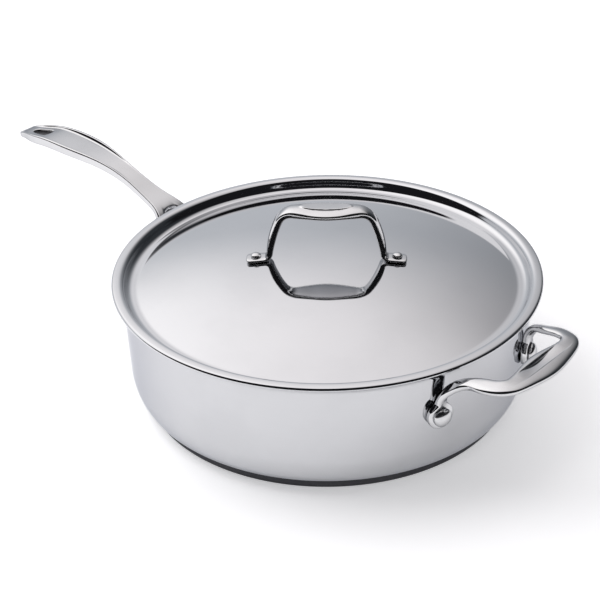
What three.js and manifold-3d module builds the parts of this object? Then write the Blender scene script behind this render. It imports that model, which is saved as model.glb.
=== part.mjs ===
import * as THREE from 'three';
import { mergeVertices } from 'three/addons/utils/BufferGeometryUtils.js';
import Module from 'manifold-3d';

const wasm = await Module();
wasm.setup();

// Saute pan with a lid. Sizes are in millimetres and angles in degrees.
// The origin is the centre of the base on the hob, +Z is up, the helper handle points
// along +X and the long handle along -X.

// Fits
const seatGap = 0.3; // between a piece and the surface that it is seated on
const rivetPlay = 0.3; // radial play of a rivet in its hole
const rivetSeat = 0.5; // between a rivet's inner head and the curved sheet under it

// Base, a thick aluminium disc in a steel capsule
const baseRadius = 130;
const capSheet = 0.8;
const capRound = 1.6;
const coreThickness = 5.9;
const baseGroove = 1.3; // open groove between the capsule's edge and the pan

// Pan, drawn from one sheet
const panSheet = 1.2;
const cornerReach = 10.7; // rounded corner between floor and wall, measured sideways
const cornerRise = 23; // and upwards
const wallRise = 51.8;
const wallOpening = 2; // how far the wall opens over its rise
const lipRadius = 7.6;
const lipTurn = 75;

// Lid, pressed from one sheet
const lidSheet = 1;
const lidOverhang = 1.6; // from the pan's lip to the lid's edge
const lidPlay = 1.4; // from the lid's step to the pan's wall
const lidEdgeRadius = 2.2;
const shoulderRadius = 2.2; // where the flange turns down into the step
const stepSlope = 56.6;
const channelDepth = 7.4; // from the flange down to the channel
const channelRadius = 3;
const channelFlat = 5; // level floor of the channel
const domeFootRadius = 8; // where the channel turns up into the dome
const domeSlope = 14.4; // of the dome at its foot
const lidTurn = 39; // how far the lid is turned on the rim

// Handle rivets and the round feet that they hold
const rivetHeight = 54;
const rivetRadius = 3;
const rivetHeadRadius = 6.6;
const rivetHeadHeight = 4.2;
const rivetInnerRadius = 6.4;
const rivetInnerHeight = 1.8;
const footRadius = 9.3;
const footHeight = 5.2;
const footRound = 1.6;
const footRoot = 4; // how far a foot is made too deep before it is cut to the wall

// Long handle, reaches measured outwards from the wall and rises upwards from the rivets
const longFootAngle = 8.8; // each foot's turn from the handle's own line
const longArmHalf = 4.4;
const longArmReach = 5.8;
const longForkReach = 9.6; // where the arms meet
const longForkHalf = 16;
const longShoulderReach = 16;
const longShoulderRise = 34.5;
const longShoulderHalf = 12.2;
const longNeckReach = 29;
const longNeckRise = 38.9;
const longNeckHalf = 9.3;
const longWaistReach = 48;
const longWaistRise = 46;
const longWaistHalf = 7.8;
const longSwellReach = 80;
const longSwellRise = 56;
const longSwellHalf = 10.4;
const longGripReach = 120;
const longGripRise = 58.4;
const longGripHalf = 14.3;
const longNoseReach = 149.3;
const longNoseRise = 56.4;
const longNoseHalf = 13.1;
const longEndReach = 168.3;
const longEndRise = 53.5;
const longEndHalf = 8.9;
const longTipReach = 177.3;
const longTipRise = 51;
const longTipHalf = 1.8;
const longThickHalf = 3.2;
const longGripThickHalf = 4.1;
const gripDish = 2; // depth of the dish along the grip
const noseDish = 2.3; // and of the dish around the hang hole
const forkHalf = 7.2; // opening between the arms under the shoulder
const crotchHalf = 5.4;
const crotchInset = 0.5; // from the shoulder to the end of the opening
const hangLength = 21;
const hangHalf = 5;
const hangNarrowHalf = 3;
const hangInset = 15; // from the tip to the hole

// Helper handle, measured the same way
const helperFootAngle = 19.9;
const helperReach = 38.6; // to the middle line of its grip
const helperRise = 30.9;
const helperSag = 1.6; // how far the loop lies lower where it leaves the necks
const helperNeck = [ // outwards and inwards from the foot, share of the rise, share of the roll
  [0.3, 0.1, 0.28, 0],
  [2.4, 0.8, 0.52, 0.4],
  [6.4, 2.6, 0.69, 0.8],
  [11.4, 4.9, 0.81, 1],
  [17.4, 7, 0.885, 1],
];
const helperLoopHalf = 41.9; // to the middle line of each leg
const helperGripHalf = 10.5;
const helperNeckHalf = 3.8;
const helperLegHalf = 5.8;
const helperSwellSide = 38; // where the legs begin to widen into the grip
const helperThickHalf = 2.7;
const helperGripThickHalf = 3.3;
const helperRoll = 14; // how far the necks and legs lean down towards their outside
const helperGripRoll = 20;
const helperSquareness = 8; // exponent of the loop's superellipse
const helperDish = 1.1;

// Lid handle, measured from the lid's centre and upwards from the dome at its rivets
const lidRivetReach = 49;
const lidRivetRadius = 2;
const lidRivetHeadRadius = 3.6;
const lidRivetHeadHeight = 2.4;
const lidRivetInnerHeight = 1.2;
const strapThickHalf = 1.8;
const strapFootHalf = 5.7;
const strapFootThickHalf = 1.3;
const strapFootLength = 15; // from the foot's end to the bend
const strapLegHalf = 4.7;
const strapGripHalf = 11.5;
const strapGripThickHalf = 2.5;
const strapRise = 37; // from the foot's middle to the grip's
const strapShoulderReach = 27.5;
const strapCrown = 1.7; // how far the grip's upper face rises to its middle

// Facets
const turnSteps = 64;
const domeSteps = 7;
const rivetSteps = 18;
const sectionSides = 16;

const radians = THREE.MathUtils.degToRad;

// A profile drawn like a pen stroke that runs straight or turns along arcs, left being positive
class Stroke {
  constructor(x, y, heading) {
    this.points = [new THREE.Vector2(x, y)];
    this.heading = radians(heading);
  }

  get end() {
    return this.points[this.points.length - 1];
  }

  line(length) {
    const run = new THREE.Vector2(length, 0).rotateAround(new THREE.Vector2(), this.heading);
    this.points.push(this.end.clone().add(run));
    return this;
  }

  lineTo(x, y) {
    const run = new THREE.Vector2(x, y).sub(this.end);
    this.heading = run.angle();
    this.points.push(new THREE.Vector2(x, y));
    return this;
  }

  arc(radius, turnDegrees, steps) {
    const turn = radians(turnDegrees);
    const spoke = Math.sign(turn) * radius;
    const start = this.end.clone();
    for (let i = 1; i <= steps; i += 1) {
      const heading = this.heading + (turn * i) / steps;
      const x = start.x + spoke * (Math.sin(heading) - Math.sin(this.heading));
      const y = start.y - spoke * (Math.cos(heading) - Math.cos(this.heading));
      this.points.push(new THREE.Vector2(x, y));
    }
    this.heading += turn;
    return this;
  }

  // A quarter ellipse from level to upright
  corner(reach, rise, steps) {
    const start = this.end.clone();
    for (let i = 1; i <= steps; i += 1) {
      const angle = ((Math.PI / 2) * i) / steps;
      const x = start.x + reach * Math.sin(angle);
      const y = start.y + rise * (1 - Math.cos(angle));
      this.points.push(new THREE.Vector2(x, y));
    }
    this.heading = Math.PI / 2;
    return this;
  }
}

// The points of a line moved sideways, to its left for a positive distance
function offsetLine(points, distance) {
  return points.map((point, i) => {
    const before = points[Math.max(i - 1, 0)];
    const after = points[Math.min(i + 1, points.length - 1)];
    const back = point.clone().sub(i > 0 ? before : point.clone().multiplyScalar(2).sub(after));
    const ahead = (i < points.length - 1 ? after.clone() : point.clone().add(back)).sub(point);
    const along = back.normalize().clone().add(ahead.normalize()).normalize();
    const normal = new THREE.Vector2(-along.y, along.x);
    const miter = distance / Math.abs(along.dot(back));
    const moved = point.clone().addScaledVector(normal, miter);
    moved.x = Math.abs(point.x) < 1e-6 ? 0 : moved.x;
    return moved;
  });
}

// A sheet of even thickness on the left of a line, as a closed profile
function sheetProfile(points, thickness) {
  return [...points, ...offsetLine(points, thickness).reverse()];
}

function revolve(profile, steps = turnSteps) {
  const closed = profile.map((point) => new THREE.Vector2(Math.abs(point.x) < 1e-6 ? 0 : point.x, point.y));
  if (closed[0].x > 0 || closed[closed.length - 1].x > 0) {
    closed.push(closed[0].clone());
  }
  const geometry = new THREE.LatheGeometry(closed, steps);
  geometry.rotateX(Math.PI / 2);
  return geometry;
}

function toSolid(geometry) {
  const bare = geometry.clone();
  bare.deleteAttribute('normal');
  bare.deleteAttribute('uv');
  const merged = mergeVertices(bare, 1e-4);
  const index = merged.index.array;
  const triangles = [];
  for (let i = 0; i < index.length; i += 3) {
    const [a, b, c] = index.slice(i, i + 3);
    if (a !== b && b !== c && c !== a) {
      triangles.push(a, b, c);
    }
  }
  const mesh = new wasm.Mesh({
    numProp: 3,
    vertProperties: new Float32Array(merged.attributes.position.array),
    triVerts: new Uint32Array(triangles),
  });
  return new wasm.Manifold(mesh);
}

function toGeometry(solid) {
  const mesh = solid.getMesh();
  const geometry = new THREE.BufferGeometry();
  geometry.setAttribute('position', new THREE.BufferAttribute(new Float32Array(mesh.vertProperties), 3));
  geometry.setIndex(new THREE.BufferAttribute(new Uint32Array(mesh.triVerts), 1));
  geometry.computeVertexNormals();
  return geometry;
}

// A closed skin over a row of rings that have the same number of points
function skin(rings) {
  const sides = rings[0].length;
  const last = (rings.length - 1) * sides;
  const index = [];
  for (let i = 0; i < last; i += sides) {
    for (let j = 0; j < sides; j += 1) {
      const k = (j + 1) % sides;
      index.push(i + j, i + k, i + k + sides);
      index.push(i + j, i + k + sides, i + j + sides);
    }
  }
  for (let j = 1; j < sides - 1; j += 1) {
    index.push(0, j + 1, j);
    index.push(last, last + j, last + j + 1);
  }
  const geometry = new THREE.BufferGeometry().setFromPoints(rings.flat());
  geometry.setIndex(index);
  return geometry;
}

// A rounded bar section: flat sides with soft corners, and a dish in its upper face, or a crown where
// the dish is negative
function barSection(half, thick, dish) {
  const roundness = 0.66;
  const dishShare = 0.8;
  const soften = (value) => Math.sign(value) * Math.abs(value) ** roundness;
  return Array.from({ length: sectionSides }, (_, j) => {
    const angle = (2 * Math.PI * j) / sectionSides;
    const across = half * soften(Math.cos(angle));
    const hollow = Math.max(0, 1 - (across / (dishShare * half)) ** 2);
    const up = thick * soften(Math.sin(angle)) - (Math.sin(angle) > 0 ? dish * hollow : 0);
    return new THREE.Vector2(across, up);
  });
}

// A cast bar through stations, each with a place, the section's half width, half thickness and dish,
// and the section's roll about the bar
function castBar(stations, steps) {
  const path = new THREE.CatmullRomCurve3(stations.map((station) => station.at));
  const sizes = new THREE.CatmullRomCurve3(stations.map((station) => station.size));
  const rings = [];
  let across = new THREE.Vector3(0, 1, 0);
  for (let i = 0; i <= steps; i += 1) {
    const centre = path.getPoint(i / steps);
    const along = path.getTangent(i / steps);
    const size = sizes.getPoint(i / steps);
    across = across.addScaledVector(along, -across.dot(along)).normalize();
    const side = across.clone().applyAxisAngle(along, rollAt(stations, i / steps));
    const up = along.clone().cross(side);
    const ring = barSection(...size).map((point) =>
      centre.clone().addScaledVector(side, point.x).addScaledVector(up, point.y));
    rings.push(ring);
  }
  return toSolid(skin(rings));
}

function rollAt(stations, share) {
  const place = share * (stations.length - 1);
  const before = Math.min(Math.floor(place), stations.length - 2);
  return radians(THREE.MathUtils.lerp(stations[before].roll, stations[before + 1].roll, place - before));
}

function station(x, y, z, half, thick, dish = 0, roll = 0) {
  return { at: new THREE.Vector3(x, y, z), size: new THREE.Vector3(half, thick, dish), roll };
}

// Turns a solid that stands on +Z so that it points out of the wall at an angle round the pan
function outOfWall(geometry, angle) {
  const placed = geometry.clone();
  placed.rotateY(Math.PI / 2);
  placed.translate(rivetWallRadius, 0, rivetHeight);
  placed.rotateZ(radians(angle));
  return placed;
}

// Places that follow from the sizes above
const headClear = rivetHeadRadius + 2; // a bar stays flush with its foot as far as this from the rivet
const panFloor = capSheet + coreThickness;
const wallLowRadius = baseRadius + cornerReach;
const wallTopRadius = wallLowRadius + wallOpening;
const wallFoot = panFloor + cornerRise;
const lipStart = wallFoot + wallRise;
const lipOuterRadius = wallTopRadius + lipRadius * (1 - Math.cos(radians(lipTurn)));
const panHeight = lipStart + (lipRadius + panSheet) * Math.sin(radians(lipTurn));
const rivetWallRadius = wallLowRadius + (wallOpening * (rivetHeight - wallFoot)) / wallRise;
const flangeTop = panHeight + seatGap + lidSheet;

function panOutside() {
  return new Stroke(0, panFloor, 0)
    .lineTo(baseRadius, panFloor)
    .corner(cornerReach, cornerRise, 6)
    .lineTo(wallTopRadius, lipStart)
    .arc(lipRadius, -lipTurn, 4).points;
}

// The space that the wall takes up, with the seat gap, for cutting the handles' feet
function wallEnvelope() {
  const outside = offsetLine(panOutside(), -seatGap);
  const top = outside[outside.length - 1].y;
  return toSolid(revolve([...outside, new THREE.Vector2(0, top)]));
}

// A rivet's hole through sheet and foot, with the spot face that its head sits in
function rivetHole(angle) {
  const hole = new Stroke(0, -footHeight - panSheet, 0)
    .line(rivetRadius + rivetPlay)
    .lineTo(rivetRadius + rivetPlay, footHeight)
    .lineTo(rivetHeadRadius + rivetPlay, footHeight)
    .lineTo(rivetHeadRadius + rivetPlay, 2 * footHeight + rivetHeadHeight)
    .lineTo(0, 2 * footHeight + rivetHeadHeight).points;
  return toSolid(outOfWall(revolve(hole, rivetSteps), angle));
}

function cutAll(solid, cutters) {
  return cutters.reduce((left, cutter) => left.subtract(cutter), solid);
}

function panBody() {
  const pan = toSolid(revolve(sheetProfile(panOutside(), panSheet)));
  const turns = [-helperFootAngle, helperFootAngle, 180 - longFootAngle, 180 + longFootAngle];
  return toGeometry(cutAll(pan, turns.map(rivetHole)));
}

function baseCore() {
  const radius = baseRadius - capSheet - seatGap;
  return revolve(new Stroke(0, capSheet, 0)
    .lineTo(radius - capRound, capSheet)
    .arc(capRound, 90, 3)
    .lineTo(radius, panFloor)
    .lineTo(0, panFloor).points);
}

function baseCap() {
  const outside = new Stroke(0, 0, 0)
    .lineTo(baseRadius - capRound, 0)
    .arc(capRound, 90, 3)
    .lineTo(baseRadius, panFloor - baseGroove).points;
  return revolve(sheetProfile(outside, capSheet));
}

// A round foot on the wall, made too deep so that it can be cut to the wall
function footDisc() {
  const outline = new Stroke(0, -footRoot, 0)
    .lineTo(footRadius, -footRoot)
    .lineTo(footRadius, footHeight - footRound)
    .arc(footRound, 90, 3)
    .lineTo(0, footHeight).points;
  return revolve(outline, rivetSteps);
}

// A spherical cap's profile from its rim up to the axis
function capProfile(radius, height, top, steps) {
  const sphere = (radius ** 2 + height ** 2) / (2 * height);
  const turn = Math.asin(radius / sphere);
  return Array.from({ length: steps + 1 }, (_, i) => {
    const angle = turn * (1 - i / steps);
    return new THREE.Vector2(sphere * Math.sin(angle), top - sphere * (1 - Math.cos(angle)));
  });
}

// A rivet on +Z: inner head, shank through the sheet and the foot, domed outer head
function rivetGeometry(size) {
  const inner = -size.sheet - size.innerSeat;
  const outer = size.grip + seatGap;
  const profile = [
    new THREE.Vector2(0, inner - size.innerHeight),
    new THREE.Vector2(0.7 * size.innerRadius, inner - size.innerHeight),
    new THREE.Vector2(size.innerRadius, inner - 0.4 * size.innerHeight),
    new THREE.Vector2(size.innerRadius, inner),
    new THREE.Vector2(size.radius, inner),
    new THREE.Vector2(size.radius, outer),
    new THREE.Vector2(size.headRadius, outer),
    ...capProfile(size.headRadius, 0.85 * size.headHeight, outer + size.headHeight, 4),
  ];
  return revolve(profile, rivetSteps);
}

// A cast bar joined to its pair of feet, cut to the wall and drilled for its rivets
function onFeet(bar, angle, wall) {
  const turns = [-angle, angle];
  const feet = turns.map((turn) => toSolid(outOfWall(footDisc(), turn)));
  const joined = feet.reduce((sum, foot) => sum.add(foot), bar);
  return cutAll(joined.subtract(wall), turns.map(rivetHole));
}

// Long handle in its own frame, pointing along +X
function longHandle(wall) {
  const rise = (reach, height, half, thick, dish) =>
    station(rivetWallRadius + reach, 0, rivetHeight + height, half, thick, dish);
  const footSide = rivetWallRadius * Math.sin(radians(longFootAngle));
  const footHalf = footSide + longArmHalf;
  const root = [
    rise(footHeight / 2, 0, footHalf, footHeight / 2),
    rise(footHeight / 2, headClear, 0.94 * footHalf, footHeight / 2),
    rise(longArmReach, 0.56 * longShoulderRise, 0.75 * footHalf, longThickHalf),
    rise(longForkReach, 0.82 * longShoulderRise, longForkHalf, longThickHalf),
    rise(longShoulderReach, longShoulderRise, longShoulderHalf, longThickHalf),
  ];
  const grip = [
    rise(longNeckReach, longNeckRise, longNeckHalf, longThickHalf),
    rise(longWaistReach, longWaistRise, longWaistHalf, longThickHalf),
    rise(longSwellReach, longSwellRise, longSwellHalf, longThickHalf, 0.5 * gripDish),
    rise(longGripReach, longGripRise, longGripHalf, longGripThickHalf, gripDish),
    rise(longNoseReach, longNoseRise, longNoseHalf, longGripThickHalf, noseDish),
    rise(longEndReach, longEndRise, longEndHalf, 0.7 * longGripThickHalf, 0.4 * noseDish),
    rise(longTipReach, longTipRise, longTipHalf, 0.4 * longGripThickHalf),
  ];
  const fork = [
    rise(longArmReach - 2, -2 * footRadius, footSide - longArmHalf, 4 * longThickHalf),
    rise(longArmReach - 1.6, 0, footSide - longArmHalf, 4 * longThickHalf),
    rise(longArmReach + 0.8, 0.5 * longShoulderRise, footSide - 2.1 * longArmHalf, 3 * longThickHalf),
    rise(longForkReach - 0.4, 0.8 * longShoulderRise, forkHalf, 2 * longThickHalf),
    rise(longShoulderReach - crotchInset - 0.9, 0.96 * longShoulderRise, crotchHalf, 1.5 * longThickHalf),
    rise(longShoulderReach - crotchInset, 0.985 * longShoulderRise, 0.45 * crotchHalf, 1.5 * longThickHalf),
  ];
  const bar = castBar([...root, ...grip], 42).subtract(castBar(fork, 14)).subtract(hangHole());
  return toGeometry(onFeet(bar, longFootAngle, wall));
}

// The hang hole's cutter, a slot that narrows towards the tip
function hangHole() {
  const near = rivetWallRadius + longTipReach - hangInset - hangLength;
  const far = near + hangLength;
  const slot = new THREE.Shape();
  slot.absarc(near + hangHalf, 0, hangHalf, Math.PI / 2, -Math.PI / 2, false);
  slot.absarc(far - hangNarrowHalf, 0, hangNarrowHalf, -Math.PI / 2, Math.PI / 2, false);
  const depth = 2 * longGripRise;
  const cutter = new THREE.ExtrudeGeometry(slot, { depth, bevelEnabled: false, curveSegments: 6 });
  cutter.translate(0, 0, rivetHeight);
  return toSolid(cutter);
}

// Helper handle: two round feet, swan necks and a level loop with a broad dished grip
function helperHandle(wall) {
  const angle = radians(helperFootAngle);
  const footX = (rivetWallRadius + footHeight / 2) * Math.cos(angle);
  const footY = (rivetWallRadius + footHeight / 2) * Math.sin(angle);
  const loopHeight = rivetHeight + helperRise;
  const loopReach = rivetWallRadius + helperReach - footX;
  const power = 2 / helperSquareness;
  const neck = helperNeck.map(([out, inward, share, roll], i) => station(
    footX + out, inward - footY, rivetHeight + share * helperRise,
    helperNeckHalf, i > 0 ? helperThickHalf : footHeight / 2, 0, roll * helperRoll,
  ));
  const foot = station(footX, -footY, rivetHeight, helperNeckHalf + 1, footHeight / 2);
  const loop = [14, 28, 45, 62, 76, 85, 89.4, 90].map((turn) => {
    const x = footX + loopReach * Math.sin(radians(turn)) ** power;
    const y = turn < 90 ? -helperLoopHalf * Math.cos(radians(turn)) ** power : 0;
    const swell = 1 - THREE.MathUtils.smoothstep(-y, 0, helperSwellSide);
    const half = THREE.MathUtils.lerp(helperLegHalf, helperGripHalf, swell);
    const thick = THREE.MathUtils.lerp(helperThickHalf, helperGripThickHalf, swell);
    const dish = helperDish * THREE.MathUtils.smoothstep(turn, 45, 80);
    const sag = helperSag * (1 - THREE.MathUtils.smoothstep(turn, 0, 45));
    const roll = THREE.MathUtils.lerp(helperRoll, helperGripRoll, swell);
    return station(x, y, loopHeight - sag, half, thick, dish, roll);
  });
  const half = [foot, ...neck, ...loop];
  const mirrored = half.slice(0, -1).reverse().map((near) => ({
    ...near,
    at: near.at.clone().setY(-near.at.y),
  }));
  return toGeometry(onFeet(castBar([...half, ...mirrored], 58), helperFootAngle, wall));
}

// The lid's upper surface from its edge inwards to the centre
function lidTop() {
  const slope = radians(stepSlope);
  const wallInside = wallTopRadius - panSheet;
  const lidRadius = lipOuterRadius + lidOverhang;
  const stepFoot = wallInside - lidPlay - lidSheet * Math.sin(slope);
  const stepRun = (channelDepth - (shoulderRadius + channelRadius) * (1 - Math.cos(slope))) / Math.sin(slope);
  const stepHead = stepFoot + stepRun * Math.cos(slope) + shoulderRadius * Math.sin(slope);
  const stroke = new Stroke(lidRadius, flangeTop - lidEdgeRadius, 90)
    .arc(lidEdgeRadius, 90, 2)
    .line(lidRadius - lidEdgeRadius - stepHead)
    .arc(shoulderRadius, stepSlope, 2)
    .line(stepRun)
    .arc(channelRadius, -stepSlope, 3)
    .line(channelFlat)
    .arc(domeFootRadius, -domeSlope, 2);
  const domeRadius = stroke.end.x / Math.sin(radians(domeSlope));
  return stroke.arc(domeRadius, domeSlope, domeSteps).points;
}

// Height of the lid's upper surface at a radius on the dome
function domeHeight(radius) {
  const top = lidTop();
  const foot = top[top.length - 1 - domeSteps];
  const centre = top[top.length - 1];
  const domeRadius = foot.x / Math.sin(radians(domeSlope));
  return centre.y - domeRadius + Math.sqrt(domeRadius ** 2 - radius ** 2);
}

function lidRivetHole(side) {
  const radius = lidRivetRadius + rivetPlay;
  const hole = new THREE.CylinderGeometry(radius, radius, strapRise, rivetSteps);
  hole.rotateX(Math.PI / 2);
  hole.translate(side * lidRivetReach, 0, domeHeight(lidRivetReach));
  return toSolid(hole);
}

function lidShell() {
  const shell = toSolid(revolve(sheetProfile(lidTop(), lidSheet)));
  return toGeometry(shell.subtract(lidRivetHole(-1)).subtract(lidRivetHole(1)));
}

// Strap handle over the lid's centre, in the lid's own frame
function lidHandle() {
  const onDome = (reach) => domeHeight(reach) + seatGap + strapFootThickHalf;
  const seat = onDome(lidRivetReach);
  const footEnd = lidRivetReach + strapFootHalf + 1;
  const bend = footEnd - strapFootLength;
  const top = seat + strapRise;
  const left = [
    station(-footEnd, 0, onDome(footEnd), 0.78 * strapFootHalf, strapFootThickHalf),
    station(-footEnd + 2, 0, onDome(footEnd - 2), 0.97 * strapFootHalf, strapFootThickHalf),
    station(-lidRivetReach, 0, seat, strapFootHalf, strapFootThickHalf),
    station(-bend - 2, 0, onDome(bend + 2), 0.94 * strapFootHalf, strapFootThickHalf),
    station(-bend + 2.4, 0, seat + 3.4, strapLegHalf, strapThickHalf),
    station(-bend + 5.6, 0, seat + 0.42 * strapRise, strapLegHalf, strapThickHalf),
    station(-strapShoulderReach - 3.2, 0, seat + 0.79 * strapRise, 1.25 * strapLegHalf, strapThickHalf),
    station(-strapShoulderReach + 4, 0, top - 0.6, 0.62 * strapGripHalf, strapThickHalf),
    station(-0.4 * strapShoulderReach, 0, top, 0.87 * strapGripHalf, strapGripThickHalf, -0.5 * strapCrown),
    station(0, 0, top, strapGripHalf, strapGripThickHalf, -strapCrown),
  ];
  const right = left.slice(0, -1).reverse().map((near) => ({
    ...near,
    at: near.at.clone().setX(-near.at.x),
  }));
  const strap = castBar([...left, ...right], 46);
  return toGeometry(strap.subtract(lidRivetHole(-1)).subtract(lidRivetHole(1)));
}

const polishedSteel = { color: 0xd3d5da, roughness: 0.12, metalness: 1 };
const castSteel = { color: 0xc9cbd0, roughness: 0.15, metalness: 1 };
const rivetSteel = { color: 0xd8dade, roughness: 0.2, metalness: 1 };
const darkBase = { color: 0x36363a, roughness: 0.35, metalness: 1 };
const aluminium = { color: 0xc4c5c8, roughness: 0.45, metalness: 1 };

function piece(name, geometry, finish) {
  const mesh = new THREE.Mesh(geometry, new THREE.MeshStandardMaterial(finish));
  mesh.name = name;
  return mesh;
}

const handleRivet = {
  sheet: panSheet,
  innerSeat: rivetSeat,
  grip: footHeight,
  radius: rivetRadius,
  headRadius: rivetHeadRadius,
  headHeight: rivetHeadHeight,
  innerRadius: rivetInnerRadius,
  innerHeight: rivetInnerHeight,
};

const lidRivet = {
  sheet: lidSheet,
  innerSeat: rivetSeat,
  grip: 2 * strapFootThickHalf + seatGap,
  radius: lidRivetRadius,
  headRadius: lidRivetHeadRadius,
  headHeight: lidRivetHeadHeight,
  innerRadius: lidRivetHeadRadius,
  innerHeight: lidRivetInnerHeight,
};

const wall = wallEnvelope();
const saute = new THREE.Group();
saute.add(piece('pan_body', panBody(), polishedSteel));
saute.add(piece('base_core', baseCore(), aluminium));
saute.add(piece('base_cap', baseCap(), darkBase));

const longSide = new THREE.Group();
longSide.rotation.z = Math.PI;
longSide.add(piece('long_handle', longHandle(wall), castSteel));
const helperSide = new THREE.Group();
helperSide.add(piece('helper_handle', helperHandle(wall), castSteel));

const handleSides = [
  { group: longSide, name: 'long_handle', angle: longFootAngle, ends: ['left', 'right'] },
  { group: helperSide, name: 'helper_handle', angle: helperFootAngle, ends: ['near', 'far'] },
];
for (const side of handleSides) {
  side.ends.forEach((end, i) => {
    const turn = i === 0 ? -side.angle : side.angle;
    const rivet = outOfWall(rivetGeometry(handleRivet), turn);
    side.group.add(piece(`${side.name}_rivet_${end}`, rivet, rivetSteel));
  });
  saute.add(side.group);
}

const lid = new THREE.Group();
lid.rotation.z = radians(lidTurn);
lid.add(piece('lid_shell', lidShell(), polishedSteel));
lid.add(piece('lid_handle', lidHandle(), castSteel));
for (const [end, side] of [['left', -1], ['right', 1]]) {
  const rivet = piece(`lid_rivet_${end}`, rivetGeometry(lidRivet), rivetSteel);
  rivet.position.set(side * lidRivetReach, 0, domeHeight(lidRivetReach));
  lid.add(rivet);
}
saute.add(lid);

export default saute;
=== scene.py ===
import bpy
import numpy as np
from mathutils import Matrix


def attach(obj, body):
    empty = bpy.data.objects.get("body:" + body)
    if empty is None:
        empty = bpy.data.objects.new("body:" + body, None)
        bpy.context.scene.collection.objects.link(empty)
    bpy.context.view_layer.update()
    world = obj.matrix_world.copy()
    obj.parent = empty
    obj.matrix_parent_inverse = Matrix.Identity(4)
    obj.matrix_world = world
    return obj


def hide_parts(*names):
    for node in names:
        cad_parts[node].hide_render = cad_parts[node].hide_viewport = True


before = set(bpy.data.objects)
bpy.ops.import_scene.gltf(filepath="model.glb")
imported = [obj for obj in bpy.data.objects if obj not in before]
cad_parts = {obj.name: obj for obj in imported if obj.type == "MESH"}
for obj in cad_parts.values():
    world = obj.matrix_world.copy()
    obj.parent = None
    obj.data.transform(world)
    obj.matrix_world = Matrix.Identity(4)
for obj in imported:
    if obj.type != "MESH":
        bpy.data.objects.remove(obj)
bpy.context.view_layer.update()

# Saute pan with a lid. Lengths are in millimetres until a mesh is made of them.
# +Z is up, the helper handle points along +X and the long handle along -X.

seatGap = 0.3  # between feet, rivets and sheets
edgeSteps = 7  # points on the rounded edge of a sheet


def smoothStep(value, low, high):
    share = np.clip((value - low) / (high - low), 0, 1)
    return share * share * (3 - 2 * share)


def softMax(a, b, width):
    return 0.5 * (a + b + np.sqrt((a - b) ** 2 + width ** 2))


def unit(vectors):
    return vectors / np.linalg.norm(vectors, axis=-1, keepdims=True)


# Turn points about the upright axis
def turned(points, degrees):
    c, s = np.cos(np.radians(degrees)), np.sin(np.radians(degrees))
    return points @ np.array([[c, s, 0], [-s, c, 0], [0, 0, 1]])


# Natural cubic spline through the rows of a table, read at lengths along its chords: the second
# derivatives solve the usual three-term equations. The first columns, size of them, are the place.
def splineThrough(table, at, size=3):
    table, at = np.asarray(table, float), np.asarray(at, float)
    step = np.linalg.norm(np.diff(table[:, :size], axis=0), axis=1)
    place = np.concatenate([[0], np.cumsum(step)])
    n = len(table)
    system = np.eye(n)
    right = np.zeros_like(table)
    inner = np.arange(1, n - 1)
    system[inner, inner - 1] = step[:-1]
    system[inner, inner] = 2 * (step[:-1] + step[1:])
    system[inner, inner + 1] = step[1:]
    slope = np.diff(table, axis=0) / step[:, None]
    right[1:-1] = 6 * np.diff(slope, axis=0)
    bend = np.linalg.solve(system, right)
    k = np.clip(np.searchsorted(place, at, side="right") - 1, 0, n - 2)
    h = step[k][:, None]
    a = (place[k + 1] - at)[:, None] / h
    b = 1 - a
    curve = (a ** 3 - a) * bend[k] + (b ** 3 - b) * bend[k + 1]
    return a * table[k] + b * table[k + 1] + curve * h ** 2 / 6


# A profile drawn as a pen moves: straight runs, and arcs that turn left for a positive angle
class Pen:
    def __init__(self, r, z, heading):
        self.rows = [np.array([[r, z]], float)]
        self.heading = np.radians(heading)

    def to(self, r, z, steps=1):
        start = self.rows[-1][-1]
        run = np.array([r, z]) - start
        self.heading = np.arctan2(run[1], run[0])
        self.rows.append(start + run * (np.arange(1, steps + 1) / steps)[:, None])
        return self

    def line(self, length, steps):
        way = np.array([np.cos(self.heading), np.sin(self.heading)])
        return self.to(*(self.rows[-1][-1] + length * way), steps)

    def arc(self, radius, degrees, steps):
        spoke = np.sign(degrees) * radius
        angle = self.heading + np.radians(degrees) * np.arange(1, steps + 1) / steps
        across = np.sin(angle) - np.sin(self.heading)
        swing = np.stack([across, np.cos(self.heading) - np.cos(angle)], 1)
        self.rows.append(self.rows[-1][-1] + spoke * swing)
        self.heading = angle[-1]
        return self

    # quarter ellipse from level to upright
    def corner(self, reach, rise, steps):
        angle = np.pi / 2 * np.arange(1, steps + 1) / steps
        swing = np.stack([reach * np.sin(angle), rise * (1 - np.cos(angle))], 1)
        self.rows.append(self.rows[-1][-1] + swing)
        self.heading = np.pi / 2
        return self

    # rows that are known, and the heading after them
    def follow(self, rows, heading):
        self.rows.append(rows)
        self.heading = np.radians(heading)
        return self

    def points(self):
        return np.concatenate(self.rows)


# A sheet on the left of a line: the line, a half round edge, and the line moved sideways and run back
def sheetLoop(line, thickness):
    along = unit(np.gradient(line, axis=0))
    normal = np.stack([-along[:, 1], along[:, 0]], 1)
    moved = line + thickness * normal
    moved[:, 0] = np.where(line[:, 0] < 1e-6, 0, moved[:, 0])
    angle = np.pi * np.arange(1, edgeSteps + 1)[:, None] / (edgeSteps + 1)
    middle = 0.5 * (line[-1] + moved[-1])
    edge = middle + 0.5 * thickness * (np.sin(angle) * along[-1] - np.cos(angle) * normal[-1])
    return np.concatenate([line, edge, moved[::-1]])


# Surface of revolution: radius r and height z of a profile, carried round the upright axis
def revolve(profile, steps=256):
    turn = 2 * np.pi * (np.arange(steps + 1) % steps) / steps
    r, z = profile[:, :1], profile[:, 1:]
    return np.stack([r * np.cos(turn), r * np.sin(turn), z + 0 * turn], -1)


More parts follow.
